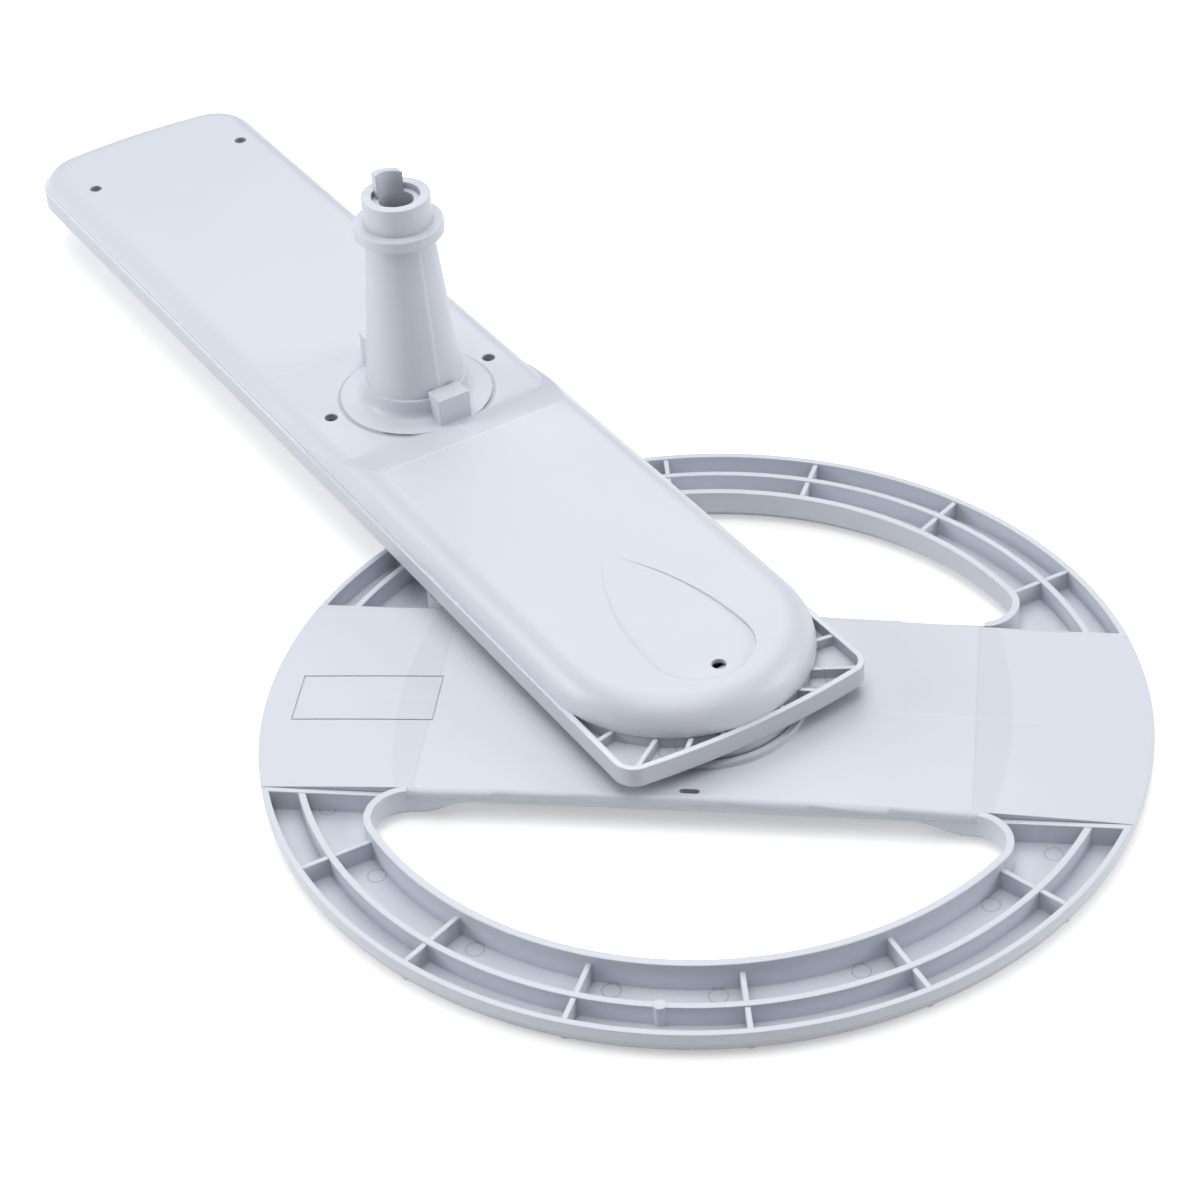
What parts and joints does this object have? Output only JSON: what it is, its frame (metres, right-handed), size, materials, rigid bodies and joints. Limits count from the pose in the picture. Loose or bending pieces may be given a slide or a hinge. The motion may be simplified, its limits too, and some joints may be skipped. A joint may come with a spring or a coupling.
{
  "type": "dishwasher spray arm",
  "caption": "Two-shell spray arm with a conical feed stem, whose hidden gear train turns a ribbed satellite wheel with a hollow crossbar.",
  "frame": {"origin": "on the axis of the feed stem, at the shoulder under its spigot", "axes": "+X along the arm to the wheel, +Z out of the spigot; the part rests on its wheel, stem up"},
  "size_m": [0.4186, 0.21, 0.089],
  "materials": {
    "housing_plastic": "satin light grey moulded polypropylene",
    "gear_plastic": "natural white acetal",
    "steel": "ground stainless pins",
    "bearing_plastic": "dark bearing plastic"
  },
  "bodies": {
    "arm": {"arm_stem_shell": "housing_plastic", "arm_nozzle_shell": "housing_plastic", "idler_pin_inner": "steel", "idler_pin_outer": "steel", "hub_bush": "bearing_plastic", "thrust_washer": "bearing_plastic"},
    "sun_shaft": {"keyed_sun_shaft": "housing_plastic"},
    "inner_idler": {"idler_gear_inner": "gear_plastic"},
    "outer_idler": {"idler_gear_outer": "gear_plastic"},
    "satellite": {"satellite_gear": "gear_plastic", "hub_clip": "steel", "satellite_cover": "housing_plastic", "satellite_ring": "housing_plastic"}
  },
  "joints": [
    {"name": "satellite_spin", "type": "hinge", "parent": "arm", "child": "satellite", "pos_m": [0.135, 0, -0.065], "axis": [0, 0, 1], "continuous": true},
    {"name": "outer_idler_spin", "type": "hinge", "parent": "arm", "child": "outer_idler", "pos_m": [0.0936, 0, -0.0575], "axis": [0, 0, 1], "continuous": true},
    {"name": "inner_idler_spin", "type": "hinge", "parent": "arm", "child": "inner_idler", "pos_m": [0.0414, 0, -0.0575], "axis": [0, 0, 1], "continuous": true},
    {"name": "sun_shaft_spin", "type": "hinge", "parent": "arm", "child": "sun_shaft", "pos_m": [0, 0, -0.05], "axis": [0, 0, 1], "continuous": true}
  ],
  "couplings": [
    {"joint": "outer_idler_spin", "follows": "satellite_spin", "ratio": -0.58621},
    {"joint": "inner_idler_spin", "follows": "satellite_spin", "ratio": 0.58621},
    {"joint": "sun_shaft_spin", "follows": "satellite_spin", "ratio": -1}
  ]
}
